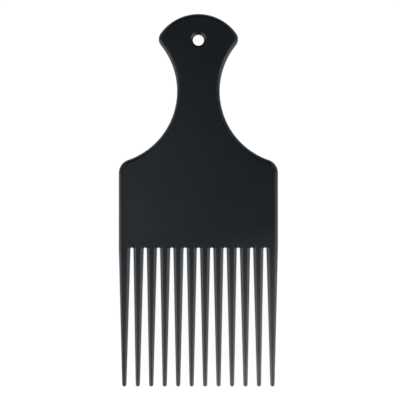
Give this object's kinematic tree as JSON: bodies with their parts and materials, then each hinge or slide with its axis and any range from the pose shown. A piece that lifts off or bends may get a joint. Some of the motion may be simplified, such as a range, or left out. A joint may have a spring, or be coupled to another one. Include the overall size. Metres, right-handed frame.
{
  "type": "styling comb",
  "caption": "Flat moulded styling comb: long tapering teeth under a plain blade, a waisted handle, and a flared head with a hanging hole.",
  "frame": {"origin": "middle of the comb's length and width, on the back face that it lies on", "axes": "+Y along the comb from the teeth to the hanging hole, +X across it, +Z out of the front face"},
  "size_m": [0.0728, 0.1704, 0.0042],
  "materials": {
    "black_plastic": "satin moulded"
  },
  "bodies": {
    "root": {"comb": "black_plastic"}
  },
  "joints": []
}
